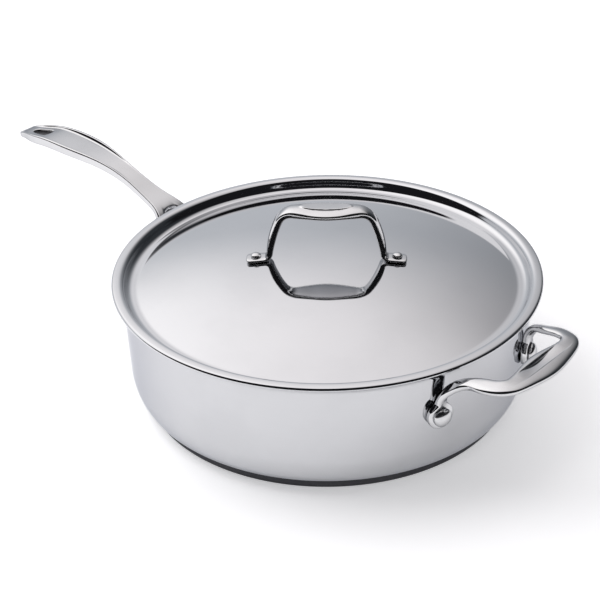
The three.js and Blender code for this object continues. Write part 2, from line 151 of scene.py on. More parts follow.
# Rings for a bar, one row each: rounded rectangles from half a width, half a thickness and the power
# of a circle's cosine and sine, rounder for a larger power. Also says which points are above.
def ringsOf(half, thick, power, sides):
    angle = 2 * np.pi * (np.arange(sides + 1) % sides) / sides
    c, s = np.cos(angle), np.sin(angle)
    power = np.broadcast_to(power, half.shape)[:, None]
    wide = half[:, None] * np.sign(c) * np.abs(c) ** power
    high = thick[:, None] * np.sign(s) * np.abs(s) ** power
    return wide, high, s > 0


# Bar along a path: every ring laid across the path at its centre
def loft(centre, across, up, wide, high):
    return centre[:, None] + wide[..., None] * across[:, None] + high[..., None] * up[:, None]


# Put points and quads into a mesh: equal points are merged, so seams and poles close, a quad that
# loses a corner becomes a triangle, and the faces are turned outwards by the sign of the volume
def meshOf(name, points, quads, faceFinish=None):
    keys, back = np.unique(np.round(points, 5) + 0.0, axis=0, return_inverse=True)
    quads = back.reshape(-1)[quads]
    a, b, c, d = (keys[quads[:, k]] for k in range(4))
    volume = np.sum(a * np.cross(b, c)) + np.sum(a * np.cross(c, d))
    quads = quads if volume > 0 else quads[:, ::-1]
    twin = quads == np.roll(quads, -1, axis=1)
    whole, three = twin.sum(1) == 0, twin.sum(1) == 1
    faces = quads[whole].tolist() + quads[three][~twin[three]].reshape(-1, 3).tolist()
    mesh = bpy.data.meshes.new(name)
    mesh.from_pydata((keys * 0.001).tolist(), [], faces)
    mesh.polygons.foreach_set("use_smooth", np.ones(len(faces), bool))
    if faceFinish is not None:
        finishes = np.concatenate([faceFinish[whole], faceFinish[three]])
        mesh.polygons.foreach_set("material_index", finishes.astype(np.int32))
    mesh.update()
    return mesh


def gridQuads(rows, columns):
    ids = np.arange(rows * columns).reshape(rows, columns)
    return np.stack([ids[:-1, :-1], ids[:-1, 1:], ids[1:, 1:], ids[1:, :-1]], -1).reshape(-1, 4)


def addPiece(name, mesh, body, slot, finishes, *nodes):
    piece = bpy.data.objects.new(name, mesh)
    bpy.context.scene.collection.objects.link(piece)
    for finish in finishes:
        mesh.materials.append(finish)
    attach(piece, body)
    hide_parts(*nodes)
    print("made", name, len(mesh.polygons), "faces")
    return piece


# A piece from one grid; rowFinish gives the finish of each row of faces
def addGrid(name, grid, body, slot, finishes, *nodes, rowFinish=None):
    rows, columns = grid.shape[:2]
    faceFinish = None if rowFinish is None else np.repeat(rowFinish, columns - 1)
    mesh = meshOf(name, grid.reshape(-1, 3), gridQuads(rows, columns), faceFinish)
    return addPiece(name, mesh, body, slot, finishes, *nodes)


# Stand a camera or light by its own x, y and z ways and its place
def stand(thing, x, y, z, at):
    pose = np.eye(4)
    pose[:3] = np.stack([x, y, z, at], 1)
    thing.matrix_world = Matrix(pose.tolist())
    bpy.context.scene.collection.objects.link(thing)


# A shader socket that takes part in sums: every operator adds one Math node
class Sum:
    def __init__(self, finish, socket):
        self.finish = finish
        self.socket = socket

    def op(self, operation, *terms):
        return self.finish.node("ShaderNodeMath", {"operation": operation}, dict(enumerate(terms)))

    def __add__(self, other):
        return self.op("ADD", self, other)

    def __sub__(self, other):
        return self.op("SUBTRACT", self, other)

    def __rsub__(self, other):
        return self.op("SUBTRACT", other, self)

    def __mul__(self, other):
        return self.op("MULTIPLY", self, other)

    def __pow__(self, other):
        return self.op("POWER", self, other)

    __radd__ = __add__
    __rmul__ = __mul__

    def root(self):
        return self.op("SQRT", self)

    # smooth share of the way from low to high
    def ramp(self, low, high):
        settings = {"interpolation_type": "SMOOTHSTEP"}
        sockets = {0: self, 1: low, 2: high, 3: 0, 4: 1}
        return self.finish.node("ShaderNodeMapRange", settings, sockets)


# A node tree being put together
class Finish:
    def __init__(self, tree):
        self.tree = tree
        tree.nodes.clear()

    def node(self, kind, settings=None, sockets=None, out=0):
        node = self.tree.nodes.new(kind)
        for key, value in (settings or {}).items():
            setattr(node, key, value)
        for key, value in (sockets or {}).items():
            if isinstance(value, Sum):
                self.tree.links.new(value.socket, node.inputs[key])
            else:
                node.inputs[key].default_value = value
        return Sum(self, node.outputs[out]) if node.outputs else None

    # the piece's own coordinates in millimetres
    def place(self):
        spot = self.node("ShaderNodeTexCoord", out=3)
        return self.node("ShaderNodeVectorMath", {"operation": "SCALE"}, {0: spot, 3: 1000})

    def split(self, spot):
        return [self.node("ShaderNodeSeparateXYZ", sockets={0: spot}, out=k) for k in range(3)]

    # how far a direction goes along a way
    def along(self, spot, way):
        sockets = {0: spot, 1: tuple(way)}
        return self.node("ShaderNodeVectorMath", {"operation": "DOT_PRODUCT"}, sockets, 1)

    def vector(self, x, y, z):
        return self.node("ShaderNodeCombineXYZ", sockets={0: x, 1: y, 2: z})

    def noise(self, spot, scale, detail):
        sockets = {"Vector": spot, "Scale": scale, "Detail": detail}
        return self.node("ShaderNodeTexNoise", sockets=sockets)

    def blend(self, share, a, b):
        return self.node("ShaderNodeMix", {"data_type": "RGBA"}, {0: share, 6: a, 7: b}, 2)

    # height in millimetres
    def bump(self, height):
        sockets = {"Strength": 1.0, "Distance": 0.001, "Height": height}
        return self.node("ShaderNodeBump", sockets=sockets)

    # steel mirrors less at a flat angle, which the edge colour gives
    def metal(self, colour, roughness, height, edge):
        shader = self.node("ShaderNodeBsdfPrincipled", sockets={
            "Base Color": colour, "Metallic": 1.0, "Roughness": roughness,
            "Normal": self.bump(height), "Specular Tint": edge,
        })
        self.node("ShaderNodeOutputMaterial", sockets={0: shader})


def newFinish(name):
    material = bpy.data.materials.new(name)
    material.use_nodes = True
    return material, Finish(material.node_tree)


# Steel polished on a lathe: faint rings about the upright axis, handling marks, a slightly wavy sheet
def turnedSteel(name, look):
    material, f = newFinish(name)
    spot = f.place()
    x, y, z = f.split(spot)
    radius = (x ** 2 + y ** 2).root()
    rings = f.noise(f.vector(radius * look["ringScale"], z * look["ringScale"], 0.0), 1.0, 4.0)
    smear = f.noise(spot, look["markScale"], 4.0).ramp(*look["smear"])
    wave = f.noise(spot, look["waveScale"], 1.0)
    roughness = look["rough"] + look["ringRough"] * rings + look["markRough"] * smear
    dullness = smear * look["smearDull"] + rings * look["ringDull"]
    colour = f.blend(dullness, look["light"], look["dull"])
    height = rings * look["ringDeep"] + wave * look["waveDeep"]
    f.metal(colour, roughness, height, look["edge"])
    return material


# Cast steel polished by hand: short marks in no one direction
def castSteel(name, look):
    material, f = newFinish(name)
    spot = f.place()
    marks = f.noise(spot, look["markScale"], 5.0)
    fine = f.noise(spot, look["fineScale"], 3.0)
    smear = marks.ramp(*look["smear"])
    roughness = look["rough"] + look["markRough"] * smear + look["fineRough"] * fine
    dullness = smear * look["smearDull"] + fine * look["fineDull"]
    colour = f.blend(dullness, look["light"], look["dull"])
    height = fine * look["fineDeep"] + marks * look["markDeep"]
    f.metal(colour, roughness, height, look["edge"])
    return material


# Camera
cameraLook = {
    "lens": 96.0, "sensor": 36.0, "far": 50.0, "place": (0.62982, -0.73743, 0.64093),
    "round": 40.5, "yaw": -1.127, "down": 30.637, "roll": -1.262,
}
roundTurn, yaw, down, roll = (np.radians(cameraLook[k]) for k in ("round", "yaw", "down", "roll"))
rightWay = np.array([np.cos(roundTurn), np.sin(roundTurn), 0])
backWay = np.array([-np.sin(roundTurn), np.cos(roundTurn), 0])
upWay = np.array([0.0, 0.0, 1.0])
aheadWay = np.cos(yaw) * backWay + np.sin(yaw) * rightWay
aheadWay = np.cos(down) * aheadWay - np.sin(down) * upWay
levelSide = unit(np.cross(aheadWay, upWay))
levelTop = np.cross(levelSide, aheadWay)
cameraSide = np.cos(roll) * levelSide + np.sin(roll) * levelTop
cameraTop = np.cos(roll) * levelTop - np.sin(roll) * levelSide
camera = bpy.data.objects.new("camera", bpy.data.cameras.new("camera"))
camera.data.lens = cameraLook["lens"]
camera.data.sensor_width = cameraLook["sensor"]
camera.data.clip_end = cameraLook["far"]
stand(camera, cameraSide, cameraTop, -aheadWay, cameraLook["place"])
bpy.context.scene.camera = camera
bpy.context.scene.view_settings.view_transform = "Standard"
print("camera set")

# Floor: a pale disc just under the base
floorLook = {
    "rings": [0, 400, 1200, 3000], "sides": 96, "drop": 0.2, "grain": 0.004, "rough": 0.75,
    "colour": (0.86, 0.86, 0.87, 1), "shade": (0.82, 0.82, 0.835, 1), "glow": 0.56,
}
floorLine = np.array([[r, -floorLook["drop"]] for r in floorLook["rings"]])
floorGrid = revolve(floorLine, floorLook["sides"])
floorMesh = bpy.data.meshes.new("floor")
floorQuads = gridQuads(*floorGrid.shape[:2])
floorMesh.from_pydata((floorGrid.reshape(-1, 3) * 0.001).tolist(), [], floorQuads.tolist())
floor = bpy.data.objects.new("floor", floorMesh)
bpy.context.scene.collection.objects.link(floor)
floorFinish, floorNodes = newFinish("paleFloor")
floorGrain = floorNodes.noise(floorNodes.place(), floorLook["grain"], 3.0)
floorTone = floorNodes.blend(floorGrain, floorLook["colour"], floorLook["shade"])
floorShader = floorNodes.node("ShaderNodeBsdfPrincipled", sockets={
    "Base Color": floorTone, "Roughness": floorLook["rough"],
    "Emission Color": floorTone, "Emission Strength": floorLook["glow"],
})
floorNodes.node("ShaderNodeOutputMaterial", sockets={0: floorShader})
floorMesh.materials.append(floorFinish)

# Studio light: a soft box that the metal doesn't mirror, a backdrop that brightens overhead and to the
# left and darkens to the right, and a dark room on the camera's side. Seen directly, the room is pale.
lightLook = {
    "boxSize": (1.0, 0.9), "boxPlace": (-0.9, 0.2, 1.35), "boxAim": (0, 0, 0.05), "boxPower": 9.5,
    "horizon": (0.64, 0.66, 0.7, 1), "sky": (1.22, 1.18, 1.19, 1), "skyRise": (0.25, 0.8),
    "left": (1.5, 1.47, 1.47, 1), "leftSide": (0.0, -0.5), "leftRise": (0.1, 0.6),
    "right": (0.04, 0.044, 0.05, 1), "rightSide": (-0.12, 0.8), "rightRise": (0.6, 0.9),
    "rightLess": 0.5, "dark": (0.012, 0.012, 0.014, 1), "darkRise": 0.55, "darkEdge": (0.2, 0.36),
    "seen": (0.9, 0.9, 0.91, 1),
}
softBox = bpy.data.objects.new("softBox", bpy.data.lights.new("softBox", "AREA"))
softBox.data.shape = "RECTANGLE"
softBox.data.size, softBox.data.size_y = lightLook["boxSize"]
softBox.data.energy = lightLook["boxPower"]
softBox.visible_glossy = False
boxRight, boxBack, boxUp = lightLook["boxPlace"]
boxAt = boxRight * rightWay + boxBack * backWay + boxUp * upWay
boxAim = unit(boxAt - np.array(lightLook["boxAim"]))
boxSide = unit(np.cross(backWay, boxAim))
stand(softBox, boxSide, np.cross(boxAim, boxSide), boxAim, boxAt)

world = bpy.data.worlds.new("studio")
world.use_nodes = True
bpy.context.scene.world = world
studio = Finish(world.node_tree)
gaze = studio.node("ShaderNodeTexCoord")
height = studio.along(gaze, upWay)
sideways = studio.along(gaze, rightWay)
skyShare = height.ramp(*lightLook["skyRise"])
leftShare = sideways.ramp(*lightLook["leftSide"]) * height.ramp(*lightLook["leftRise"])
rightShare = 1 - lightLook["rightLess"] * height.ramp(*lightLook["rightRise"])
rightShare = sideways.ramp(*lightLook["rightSide"]) * rightShare
backdrop = studio.blend(skyShare, lightLook["horizon"], lightLook["sky"])
backdrop = studio.blend(leftShare, backdrop, lightLook["left"])
backdrop = studio.blend(rightShare, backdrop, lightLook["right"])
overhead = studio.along(gaze, backWay) + lightLook["darkRise"] * height
room = studio.blend(overhead.ramp(*lightLook["darkEdge"]), lightLook["dark"], backdrop)
room = studio.blend(studio.node("ShaderNodeLightPath"), room, lightLook["seen"])
shine = studio.node("ShaderNodeBackground", sockets={0: room, 1: 1.0})
studio.node("ShaderNodeOutputWorld", sockets={0: shine})
print("floor and light set")

# Finishes
panLook = {
    "light": (0.6, 0.605, 0.62, 1), "dull": (0.555, 0.56, 0.575, 1), "edge": (0.66, 0.67, 0.7, 1),
    "rough": 0.045, "ringScale": 1.6, "ringRough": 0.03, "ringDeep": 0.0002, "ringDull": 0.3,
    "markScale": 0.02, "markRough": 0.03, "smear": (0.42, 0.72), "smearDull": 0.5,
    "waveScale": 0.012, "waveDeep": 0.02,
}
insideLook = dict(
    panLook, rough=0.2, ringScale=2.4, ringRough=0.12, ringDeep=0.004, markRough=0.06)
lidLook = dict(
    panLook, light=(0.635, 0.64, 0.655, 1), dull=(0.59, 0.595, 0.61, 1), edge=(1, 1, 1, 1),
    rough=0.03, ringRough=0.02, markRough=0.02)
# the base capsule's colour is painted shade: near black steel in place of the floor's contact shadow
# mirrored in it
baseShadeLook = dict(
    panLook, light=(0.07, 0.07, 0.075, 1), dull=(0.045, 0.045, 0.05, 1), rough=0.3,
    ringRough=0.12, ringDeep=0.004)
coreLook = dict(panLook, light=(0.7, 0.7, 0.71, 1), dull=(0.58, 0.58, 0.6, 1), rough=0.4)
handleLook = {
    "light": (0.665, 0.667, 0.675, 1), "dull": (0.61, 0.612, 0.62, 1), "edge": (0.5, 0.51, 0.53, 1),
    "rough": 0.05, "markScale": 0.05, "markRough": 0.05, "markDeep": 0.01, "smear": (0.4, 0.7),
    "smearDull": 0.6, "fineScale": 0.9, "fineRough": 0.03, "fineDeep": 0.0012, "fineDull": 0.3,
}
# painted shade: near black finish for the walls of the fork opening and the hang hole, where shade
# falls
holeShadeLook = dict(
    handleLook, light=(0.13, 0.13, 0.135, 1), dull=(0.07, 0.07, 0.075, 1), rough=0.4)
rivetLook = dict(handleLook, rough=0.12, markRough=0.08, fineRough=0.06, fineDeep=0.003)
panSteel = turnedSteel("polished_pan", panLook)
insideSteel = turnedSteel("brushed_inside", insideLook)
lidSteel = turnedSteel("polished_lid", lidLook)
underSteel = turnedSteel("brushed_underside", insideLook)
baseShadeMetal = turnedSteel("dark_base", baseShadeLook)
coreMetal = turnedSteel("base_core", coreLook)
handleSteel = castSteel("cast_handle", handleLook)
holeShadeSteel = castSteel("hole_painted_shade", holeShadeLook)
rivetSteel = castSteel("rivet_steel", rivetLook)
print("finishes made")

# Pan: floor, elliptic corner, wall that opens a little, and a lip rolled outwards
pan = {
    "floor": 6.7, "baseRadius": 130.0, "cornerReach": 10.7, "cornerRise": 23.0, "wallRise": 51.8,
    "wallOpening": 2.0, "lipRadius": 7.6, "lipTurn": 75.0, "sheet": 1.2, "steps": (26, 28, 20, 18),
}
floorSteps, cornerSteps, wallSteps, lipSteps = pan["steps"]
wallFoot = pan["floor"] + pan["cornerRise"]
wallTop = pan["baseRadius"] + pan["cornerReach"] + pan["wallOpening"]
lipStart = wallFoot + pan["wallRise"]
panPen = Pen(0, pan["floor"], 0).to(pan["baseRadius"], pan["floor"], floorSteps)
panPen.corner(pan["cornerReach"], pan["cornerRise"], cornerSteps).to(wallTop, lipStart, wallSteps)
panLine = panPen.arc(pan["lipRadius"], -pan["lipTurn"], lipSteps).points()
panLoop = sheetLoop(panLine, pan["sheet"])
panRows = np.arange(len(panLoop) - 1) > len(panLine) + edgeSteps + 1 + lipSteps  # the inside
addGrid("pan_shell", revolve(panLoop), "pan", "polished_steel", [panSteel, insideSteel], "pan_body",
        rowFinish=panRows)


# radius of the wall's outside at a height
def wallRadius(z):
    corner = np.clip(1 - (z - pan["floor"]) / pan["cornerRise"], 0, 1)
    low = pan["baseRadius"] + pan["cornerReach"] * np.sqrt(1 - corner ** 2)
    return low + pan["wallOpening"] * np.clip((z - wallFoot) / pan["wallRise"], 0, 1)


# Base: a capsule with rounded edges round the aluminium core; its steel is painted near black as
# painted shade, standing for the shadowed floor that its side mirrors
base = {"radius": 130.0, "sheet": 0.8, "round": 1.6, "top": 5.4, "steps": (26, 8, 5)}
underSteps, roundSteps, sideSteps = base["steps"]
basePen = Pen(0, 0, 0).to(base["radius"] - base["round"], 0, underSteps)
basePen.arc(base["round"], 90, roundSteps)
baseLine = basePen.to(base["radius"], base["top"] - base["sheet"] / 2, sideSteps).points()
baseGrid = revolve(sheetLoop(baseLine, base["sheet"]))
addGrid("base_capsule", baseGrid, "pan", "dark_base", [baseShadeMetal], "base_cap")
core = bpy.data.objects["base_core"]
core.data.materials.clear()
core.data.materials.append(coreMetal)
print("core finished")

# Lid: rounded edge, slightly crowned flange, step down to a level channel, and a low dome
lid = {
    "radius": 149.9, "top": 91.45, "edge": 2.2, "crown": 22.0, "crownSlope": 8.0, "shoulder": 4.2,
    "stepSlope": 70.3, "depth": 7.9, "channel": 4.9, "flat": 1.9, "domeFoot": 9.5,
    "domeSlope": 14.63, "sheet": 1.0, "turn": 39.0, "steps": (12, 10, 16, 8, 14, 10, 8, 60),
}
lidSteps = lid["steps"]
slope, tilt = np.radians(lid["stepSlope"]), np.radians(lid["crownSlope"])
stepRun = lid["depth"] - (lid["shoulder"] + lid["channel"]) * (1 - np.cos(slope))
stepRun = stepRun / np.sin(slope)
edgeLow = lid["top"] - lid["edge"] * np.cos(tilt) - lid["crown"] * (1 - np.cos(tilt))
lidPen = Pen(lid["radius"], edgeLow, 90)
lidPen.arc(lid["edge"], 90 - lid["crownSlope"], lidSteps[0])
lidPen.arc(lid["crown"], lid["crownSlope"], lidSteps[1])
lidPen.arc(lid["shoulder"], lid["stepSlope"], lidSteps[2]).line(stepRun, lidSteps[3])
lidPen.arc(lid["channel"], -lid["stepSlope"], lidSteps[4]).line(lid["flat"], lidSteps[5])
lidPen.arc(lid["domeFoot"], -lid["domeSlope"], lidSteps[6])
domeRadius = lidPen.rows[-1][-1, 0] / np.sin(np.radians(lid["domeSlope"]))
lidLine = lidPen.arc(domeRadius, lid["domeSlope"], lidSteps[7]).points()
lidLine[-1, 0] = 0
lidCentre = lidLine[-1, 1]
lidLoop = sheetLoop(lidLine[::-1], -lid["sheet"])[::-1]
lidLoop[[0, -1], 0] = 0
lidRows = np.arange(len(lidLoop) - 1) < len(lidLine) + edgeSteps // 2 + 1  # the underside
addGrid("lid_plate", revolve(lidLoop), "lid", "polished_steel", [lidSteel, underSteel], "lid_shell",
        rowFinish=lidRows)


def domeHeight(r):
    return lidCentre - domeRadius + np.sqrt(domeRadius ** 2 - r ** 2)


# Rivets: a domed head with a small rim on a shank, and a flat inner head with a rounded edge
panRivet = {
    "shank": 3.0, "head": 6.6, "high": 4.2, "grip": 5.2, "inner": 6.4, "innerHigh": 1.8,
    "sheet": 1.2,
}
lidRivet = {
    "shank": 2.0, "head": 3.6, "high": 2.4, "grip": 2.9, "inner": 3.6, "innerHigh": 1.2,
    "sheet": 1.0,
}
rivetShape = {
    "innerGap": 0.5, "rim": 0.1, "relief": 0.25, "innerFlat": 0.62, "innerRound": 0.34,
    "innerTurn": 62, "innerEdge": 0.3, "headRows": 20, "sides": 64,
}
rivetHeight = 54.0
rivetWall = float(wallRadius(rivetHeight))
rivetAngles = {
    "helper_handle_rivet_near": -19.9, "helper_handle_rivet_far": 19.9,
    "long_handle_rivet_left": 171.2, "long_handle_rivet_right": 188.8,
}
lidRivetReach = 49.0


# A profile from the inner head's middle up the shank to the top of the dome, carried round
def rivetGrid(size):
    low = -size["sheet"] - rivetShape["innerGap"]
    seat = size["grip"] + seatGap
    bottom = low - size["innerHigh"]
    pen = Pen(0, bottom, 0).to(rivetShape["innerFlat"] * size["inner"], bottom, 4)
    pen.arc(rivetShape["innerRound"] * size["inner"], rivetShape["innerTurn"], 6)
    pen.to(size["inner"], low - rivetShape["innerEdge"], 2).to(size["inner"], low)
    pen.to(size["shank"], low).to(size["shank"], seat)
    pen.to(size["head"] - rivetShape["relief"], seat)
    angle = np.linspace(0, np.pi / 2, rivetShape["headRows"])
    rim = rivetShape["rim"] * size["high"]
    domeRise = seat + rim + (size["high"] - rim) * np.sin(angle)
    dome = np.stack([size["head"] * np.cos(angle), domeRise], 1)
    dome[-1, 0] = 0
    return revolve(np.concatenate([pen.points(), dome]), rivetShape["sides"])


# stand a grid that points along +Z out of the wall at an angle round the pan
def outOfWall(grid, degrees):
    swung = np.stack([grid[..., 2] + rivetWall, grid[..., 1], rivetHeight - grid[..., 0]], -1)
    return turned(swung, degrees)


for node, degrees in rivetAngles.items():
    grid = outOfWall(rivetGrid(panRivet), degrees)
    addGrid(node.replace("rivet", "rivet_head"), grid, "pan", "rivet_steel", [rivetSteel], node)
for node, sign in (("lid_rivet_left", -1), ("lid_rivet_right", 1)):
    grid = rivetGrid(lidRivet) + np.array([sign * lidRivetReach, 0, domeHeight(lidRivetReach)])
    addGrid(node + "_head", turned(grid, lid["turn"]), "lid", "rivet_steel", [rivetSteel], node)

# Lid handle: a bent strap with a broad grip. In the lid's own frame its middle line is drawn with the
# pen from the foot's end to the middle of the grip, and mirrored. Names in At give minus the reach from
# the middle at which a change starts and ends.
strap = {
    "end": 55.7, "footThick": 1.3, "thick": 2.8, "gripThick": 2.2, "crown": 1.75, "rise": 36.2,
    "bendAt": 43.2, "bend": 4.2, "legLow": 84.0, "legHigh": 66.0, "legRadius": 84.0, "power": 0.6,
    "padLong": 18.5, "padWide": 5.2, "padHigh": 0.55, "padEdge": 0.1,
    "widthAt": [-55.7, -49, -43.5, -38.5, -34, -29, -22, -10.4, 0, 10.4],
    "width": [5.7, 5.7, 5.6, 4.8, 4.7, 5.5, 7.4, 10.3, 11.5, 10.3],
    "endRound": 3.6, "endEdge": 0.9, "legAt": (-43, -37), "gripAt": (-24, -8), "crownAt": (-33, -14),
    "endRows": [0.02, 0.06, 0.14, 0.26, 0.42, 0.62, 0.88, 1.2, 1.6, 2.1, 2.7, 3.4, 4.2],
    "footFrom": 5.2, "steps": (10, 16, 24, 30, 40), "sides": 280,
}


def strapGrid():
    footSteps, bendSteps, legSteps, shoulderSteps, gripSteps = strap["steps"]
    end, low, high = strap["end"], strap["legLow"], strap["legHigh"]
    seat = seatGap + strap["footThick"]
    footRows = np.linspace(strap["footFrom"], end - strap["bendAt"], footSteps)
    u = np.concatenate([strap["endRows"], footRows]) - end
    fall = np.degrees(np.arcsin(strap["bendAt"] / domeRadius))
    pen = Pen(-end, domeHeight(end) + seat, 0)
    pen.follow(np.stack([u, domeHeight(u) + seat], 1), fall)
    pen.arc(strap["bend"], low - fall, bendSteps).arc(strap["legRadius"], high - low, legSteps)
    top = domeHeight(lidRivetReach) + seat + strap["rise"]
    shoulder = (top - pen.rows[-1][-1, 1]) / (1 - np.cos(np.radians(high)))
    line = pen.arc(shoulder, -high, shoulderSteps).to(0, top, gripSteps).points()
    line = np.concatenate([line, (line[:-1] * [-1, 1])[::-1]])
    u = line[:, 0]
    reach = np.abs(u)
    centre = np.stack([u, 0 * u, line[:, 1]], 1)
    flow = unit(np.gradient(centre, axis=0))
    side = np.array([0.0, 1.0, 0.0]) + 0 * centre
    widths = np.stack([strap["widthAt"], strap["width"]], 1)
    half = splineThrough(widths, -reach + end, 1)[:, 1]
    fromEnd = np.clip(end - reach, 0, None)
    half = half * (1 - np.clip(1 - fromEnd / strap["endRound"], 0, 1) ** 3) ** (1 / 3)
    thick = smoothStep(-reach, *strap["legAt"]) * (strap["thick"] - strap["footThick"])
    thick = thick + smoothStep(-reach, *strap["gripAt"]) * (strap["gripThick"] - strap["thick"])
    thick = thick + strap["footThick"]
    thick = thick * (1 - np.clip(1 - fromEnd / strap["endEdge"], 0, 1) ** 2.5) ** 0.4
    wide, high, upper = ringsOf(half, thick, strap["power"], strap["sides"])
    # the grip's upper face is crowned, and a level oval pad stands on it
    drop = np.clip(wide / np.maximum(half, 0.01)[:, None], -1, 1) ** 2
    swell = strap["crown"] * smoothStep(-reach, *strap["crownAt"])[:, None]
    oval = 1 - (u[:, None] / strap["padLong"]) ** 2 - (wide / strap["padWide"]) ** 2
    pad = smoothStep(oval, 0, strap["padEdge"]) * (strap["padHigh"] + swell * drop)
    raised = high + upper * (swell * (1 - drop) + pad)
    return loft(centre, side, np.cross(flow, side), wide, raised)


addGrid("lid_strap", turned(strapGrid(), lid["turn"]), "lid", "cast_steel", [handleSteel],
        "lid_handle")

# Helper handle: round feet on the wall, swan necks and a loop with a broad dished grip. Half of it is a
# bar along a spline, and the other half is its mirror image. The rows of the neck give its way out and
# sideways from the foot, its share of the rise and its share of the lean; the turns are angles round a
# squared circle. Names in At give the lengths along the bar, or minus the sideways reach, of a change.
helper = {
    "angle": 19.9, "foot": 9.3, "footThick": 2.6, "rise": 30.9, "sag": 1.6, "reach": 38.2,
    "loopHalf": 41.9, "squareness": 6, "neckHalf": 3.8, "legHalf": 5.8, "gripHalf": 10.2,
    "neckThick": 2.7, "gripThick": 3.1, "roll": 14.0, "gripRoll": 9.0,
    "footRows": [-1, -0.5, 0, 0.45],
    "neck": [[0.3, 0.1, 0.28, 0], [2.4, 0.8, 0.52, 0.4], [6.4, 2.6, 0.69, 0.8],
             [11.4, 4.9, 0.81, 1], [17.4, 7, 0.885, 1]],
    "turns": [14, 28, 45, 62, 76, 85, 89.4, 90],
    "endRows": [0, 0.02, 0.06, 0.13, 0.24, 0.4, 0.62, 0.9, 1.3, 1.8, 2.5, 3.4],
    "barFrom": 4.3, "barRows": 190, "sides": 240,
    "twist": 0.3, "twistAt": (16, 40), "loopAt": (46, 60), "swellAt": (-38, 0), "levelAt": (-44, -20),
    "legAt": (40, 58), "armAt": (5, 14), "weld": 2.4, "weldAt": (9, 15), "neckAt": (14, 24),
    "footEdge": 2.0, "edgePower": 2.4, "power": 0.5, "neckPower": 0.3, "gripPower": -0.1,
    "gripAt": (-46, -30),
    "innerWall": 5.7, "outerWall": -2.0, "innerDeep": 2.6, "outerDeep": 1.1, "innerLong": 24.0,
    "outerLong": 34.0, "wallIn": 0.5, "wallOut": 0.3,
}


def helperGrid():
    swing = np.radians(helper["angle"])
    footOut = rivetWall + helper["footThick"]
    foot = np.array([footOut * np.cos(swing), -footOut * np.sin(swing), rivetHeight, 0])
    upright = np.array([foot + [0, 0, k * helper["foot"], 0] for k in helper["footRows"]])
    neck = foot + np.array(helper["neck"]) * [1, 1, helper["rise"], 1]
    turn = np.radians(helper["turns"])
    out = np.sin(turn) ** (2 / helper["squareness"])
    wide = np.clip(np.cos(turn), 0, 1) ** (2 / helper["squareness"])
    lift = rivetHeight + helper["rise"] - helper["sag"] * (1 - smoothStep(turn, 0, np.pi / 4))
    far = rivetWall + helper["reach"] - foot[0]
    loop = np.stack([foot[0] + far * out, -helper["loopHalf"] * wide, lift, 1 + 0 * out], 1)
    table = np.concatenate([upright, neck, loop])
    length = np.linalg.norm(np.diff(table[:, :3], axis=0), axis=1).sum()
    barRows = np.linspace(helper["barFrom"], length, helper["barRows"])
    s = np.concatenate([helper["endRows"], barRows])
    spline = splineThrough(table, s)
    centre, share = spline[:, :3].copy(), np.clip(spline[:, 3], 0, 1)
    centre[-1, 1] = 0
    flow = unit(np.gradient(centre, s, axis=0))
    flow[-1] = (0, 1, 0)
    y = np.abs(centre[:, 1])
    onNeck = smoothStep(s, *helper["neckAt"])
    onLoop = smoothStep(s, *helper["loopAt"])
    swell = onLoop * smoothStep(-y, *helper["swellAt"])
    level = onLoop * smoothStep(-y, *helper["levelAt"])
    # across the bar: level, turned along the wall at the foot, and leaning on the loop
    twist = helper["twist"] * (1 - smoothStep(s, *helper["twistAt"]))
    across = np.cross(upWay, flow) + twist[:, None] * np.array([np.sin(swing), np.cos(swing), 0])
    across = unit(across - np.sum(across * flow, 1, keepdims=True) * flow)
    rise = np.cross(flow, across)
    lean = np.radians(helper["roll"] + (helper["gripRoll"] - helper["roll"]) * level) * share
    leanIn, leanUp = np.cos(lean)[:, None], np.sin(lean)[:, None]
    across, rise = across * leanIn + rise * leanUp, rise * leanIn - across * leanUp
    # half widths: a round foot welded softly to an arm that widens to the leg and the grip
    arm = (helper["legHalf"] - helper["neckHalf"]) * smoothStep(s, *helper["legAt"])
    arm = helper["neckHalf"] + arm + (helper["gripHalf"] - helper["legHalf"]) * swell
    boss = np.sqrt(np.clip(helper["foot"] ** 2 - (s - helper["foot"]) ** 2, 0, None))
    weld = helper["weld"] * smoothStep(s, *helper["weldAt"])
    half = softMax(boss, arm * smoothStep(s, *helper["armAt"]), weld)
    thick = helper["footThick"] + (helper["neckThick"] - helper["footThick"]) * onNeck
    thick = thick + (helper["gripThick"] - helper["neckThick"]) * swell
    edge = 1 - np.clip(1 - s / helper["footEdge"], 0, 1) ** helper["edgePower"]
    thick = thick * edge ** (1 / helper["edgePower"])
    power = helper["power"] + helper["neckPower"] * onNeck
    power = power + helper["gripPower"] * onLoop * smoothStep(-y, *helper["gripAt"])
    wide, high, upper = ringsOf(half, thick, power, helper["sides"])

    # recess in the grip: steep walls, deepest along the inner one, running out to both ends
    def deep(wall):
        fade = np.clip(1 - (y / helper[wall + "Long"]) ** 2, 0, 1) ** 2 * (onLoop > 0.9)
        return (helper[wall + "Deep"] * fade)[:, None]

    inner, outer = helper["innerWall"], helper["outerWall"]
    place = np.clip((wide - outer) / (inner - outer), 0, 1)
    recess = deep("outer") + (deep("inner") - deep("outer")) * place
    recess = recess * smoothStep(wide, outer - helper["wallOut"], outer + helper["wallIn"])
    recess = recess * (1 - smoothStep(wide, inner - helper["wallIn"], inner + helper["wallOut"]))
    grid = loft(centre, across, rise, wide, high - upper * recess)
    return np.concatenate([grid, (grid[:-1] * [1, -1, 1])[::-1]])


# push what would lie inside the wall out to a seat just clear of it
def clearOfWall(grid):
    r = np.hypot(grid[..., 0], grid[..., 1])
    least = np.where(grid[..., 2] < lipStart, wallRadius(grid[..., 2]) + seatGap, 0)
    push = np.where(r < least, least / r, 1)
    return grid * np.stack([push, push, np.ones_like(push)], -1)


addGrid("helper_loop", clearOfWall(helperGrid()), "pan", "cast_steel", [handleSteel],
        "helper_handle")

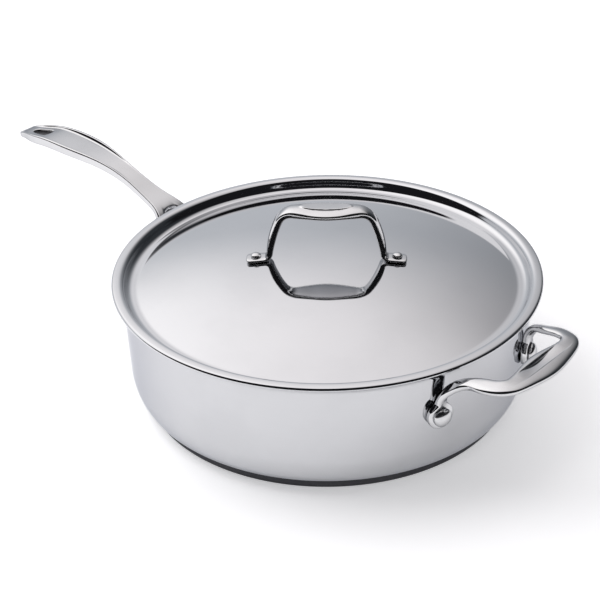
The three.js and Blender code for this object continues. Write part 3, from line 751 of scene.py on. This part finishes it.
# Long handle: a cage of rows along its middle line and columns across, upper and lower, with cells left
# out for the fork and the hang hole, walls along all open edges, and subdivision over it. It is made
# pointing along +X and then turned round. The line's rows give the reach from the wall, the height over
# the rivets, half the width, half the thickness and the depth of the dish. Rows, openAt and the names
# in At are lengths along the line, reaches or heights.
long = {
    "footAngle": 8.8, "foot": 9.7, "footHigh": 5.2, "rimGap": 0.3, "rimHigh": 0.62,
    "line": [
        [2.6, 0, 26.1, 2.6, 0], [2.6, 8.6, 24.5, 2.6, 0], [5.8, 20, 19.8, 2.6, 0],
        [9.6, 28.8, 15.9, 2.5, 0], [16, 34.8, 12.1, 2.4, 0], [29, 39.3, 9.3, 2.4, 0],
        [48, 46.3, 7.8, 2.6, 0], [64, 51.5, 8.4, 2.9, 0.2], [80, 55.6, 10.8, 3.1, 1.8],
        [100, 57.8, 14, 3.3, 2.6], [120, 58.5, 14.8, 3.4, 2.4], [135, 58.2, 14.1, 3.4, 1.7],
        [149.3, 56.5, 13.1, 3.3, 1.6], [160, 55, 11.2, 2.9, 1.4], [168.3, 53.6, 9.1, 2.3, 0.4],
        [174.4, 51.8, 6.4, 1.7, 0], [176.8, 50.9, 2, 1.2, 0],
    ],
    "rows": [14.5, 20, 26, 30.5, 33.4, 37.5, 43, 50, 60, 74, 90, 107, 124, 140, 154, 164, 169.5,
             173.6, 178, 182.5, 187, 190, 194, 198.5, 202, 204.5],
    "openAt": [0, 14.5, 20, 26, 30.5, 33.4, 37.5, 43, 54, 74, 107, 147, 165, 173.6, 182, 187, 194,
               202, 206],
    "open": [17.3, 14.4, 11.9, 9.2, 7.6, 6.6, 5.6, 4.6, 3.6, 3.0, 4.4, 5.4, 5.4, 5.2, 4.2, 3.1, 2.4,
             1.3, 0.7],
    "crotchRow": 9, "crotchBulge": 3.4, "web": [3, 5, 6.5, 6.5],
    "holeRows": (22, 25), "holeBulge": (-3.0, 2.2),
    "spread": [0, 0.14, 0.42, 0.61, 0.7, 0.77, 0.93, 1], "spreadAt": (14, 31), "wall": (0.61, 0.7),
    "rim": 0.5, "lowRim": 0.9, "belly": 2.6, "bellyAt": (60, 100), "bellyEnd": (-174, -150),
    "straightAt": (10, 34), "levels": 3,
}


def longCage():
    # columns: one arm, three over the opening, and the other arm
    spread = np.array(long["spread"])
    even = np.linspace(0, 1, len(spread))
    armLeft, armRight = len(spread) - 1, len(spread) + 3
    discRows = np.array([-1, -0.5, 0, 0.5, 1])
    crotch = long["crotchRow"] - len(discRows)
    hole = np.array(long["holeRows"]) - len(discRows)
    s, table = np.array(long["rows"]), np.array(long["line"])
    widths = splineThrough(table, s, 2)[:, 2:3]
    gaps = np.interp(s, long["openAt"], long["open"])[:, None]
    ease = smoothStep(s, *long["spreadAt"])[:, None]
    across = (1 - ease) * even + ease * spread
    arm = gaps + (widths - gaps) * across
    middle = gaps * np.array([-0.5, 0, 0.5])
    y = np.concatenate([-arm[:, ::-1], middle, arm], 1)
    share = np.concatenate([across[:, ::-1], 0 * middle, across], 1)
    # rows bulge over the opening, which rounds the crotch and the ends of the hole
    bulge = np.zeros((len(s), 1))
    bulge[crotch] = long["crotchBulge"]
    bulge[hole, 0] = long["holeBulge"]
    at = s[:, None] + bulge * np.clip(1 - (y / gaps) ** 2, 0, 1)
    flat = splineThrough(table, at.ravel(), 2)
    onward = splineThrough(table, at.ravel() + 0.05, 2)
    flow = unit((onward - flat)[:, :2]).reshape(*at.shape, 2)
    reach, rise, _, thick, dish = np.moveaxis(flat.reshape(*at.shape, 5), -1, 0)
    edge = np.zeros_like(y, bool)
    edge[:, [0, -1]] = True
    edge[-1] = True
    edge[:crotch + 1, [armLeft, armRight]] = True
    edge[crotch, armLeft:armRight + 1] = True
    half, low = (thick * np.where(edge, long[k], 1) for k in ("rim", "lowRim"))
    # the dish has a level floor and steep walls, a rim's width inside the edge
    wallIn, wallOut = long["wall"]
    hollow = dish * (1 - np.clip((share - wallIn) / (wallOut - wallIn), 0, 1))
    belly = smoothStep(reach, *long["bellyAt"]) * smoothStep(-reach, *long["bellyEnd"])
    belly = long["belly"] * (1 - share ** 2) * belly
    # under the fork a web stands along the inner edges
    web = np.zeros_like(y)
    webRows = slice(crotch + 1 - len(long["web"]), crotch + 1)
    web[webRows, armLeft:armRight + 1] = np.array(long["web"])[:, None]
    # near the wall the rows are bent to it
    bent = 1 - smoothStep(rise, *long["straightAt"])
    r = rivetWall + reach
    x = bent * np.sqrt(np.clip(r ** 2 - y ** 2, 0, None)) + (1 - bent) * r

    def layer(lift):
        return np.stack([x - lift * flow[..., 1], y, rivetHeight + rise + lift * flow[..., 0]], -1)

    # round feet: a square of cells drawn into a disc and laid on the wall
    v, w = np.meshgrid(2 * even - 1, discRows)
    a = long["foot"] * v * np.sqrt(1 - w ** 2 / 2)
    z = rivetHeight + long["foot"] * w * np.sqrt(1 - v ** 2 / 2)
    onRim = np.maximum(np.abs(v), np.where(w < 0, np.abs(w), 0)) > 0.99

    def feet(out):
        r = wallRadius(z) + out
        angle = np.radians(long["footAngle"]) + a / r
        right = np.stack([r * np.cos(angle), r * np.sin(angle), z], -1)
        left = (right * [1, -1, 1])[:, ::-1]
        between = 0.5 * (left[:, -1:] + right[:, :1]) + np.zeros((1, 3, 1))
        return np.concatenate([left, between, right], 1)

    footUnder = np.where(onRim, seatGap + long["rimGap"], seatGap)
    footOver = long["footHigh"] * np.where(onRim, long["rimHigh"], 1)
    upper = np.concatenate([feet(footUnder), layer(half - hollow)])
    lower = np.concatenate([feet(footOver), layer(-low - belly - web)])
    rows, columns = upper.shape[:2]
    kept = np.ones((rows - 1, columns - 1), bool)
    kept[:long["crotchRow"], armLeft:armRight] = False
    kept[slice(*long["holeRows"]), armLeft:armRight] = False
    top = gridQuads(rows, columns)[kept.ravel()]
    # an edge without a twin that runs the other way is open and gets a wall
    count = rows * columns
    start, stop = top.ravel(), np.roll(top, -1, axis=1).ravel()
    bare = ~np.isin(stop * count + start, start * count + stop)
    start, stop = start[bare], stop[bare]
    walls = np.stack([stop, start, start + count, stop + count], 1)
    quads = np.concatenate([top, top[:, ::-1] + count, walls])
    # the walls in the fork and the hang hole get the near black finish, painted shade inside the
    # openings
    column = walls[:, :2] % columns
    paintedHoleShade = np.zeros(len(quads))
    paintedHoleShade[-len(walls):] = np.all((column >= armLeft) & (column <= armRight), axis=1)
    points = clearOfWall(np.concatenate([upper.reshape(-1, 3), lower.reshape(-1, 3)]))
    return turned(points, 180), quads, paintedHoleShade


longPoints, longQuads, longFinish = longCage()
used = np.unique(longQuads)
longMesh = meshOf("long_grip", longPoints[used], np.searchsorted(used, longQuads), longFinish)
longPiece = addPiece("long_grip", longMesh, "pan", "cast_steel", [handleSteel, holeShadeSteel],
                     "long_handle")
rounding = longPiece.modifiers.new("rounding", "SUBSURF")
rounding.levels = rounding.render_levels = long["levels"]
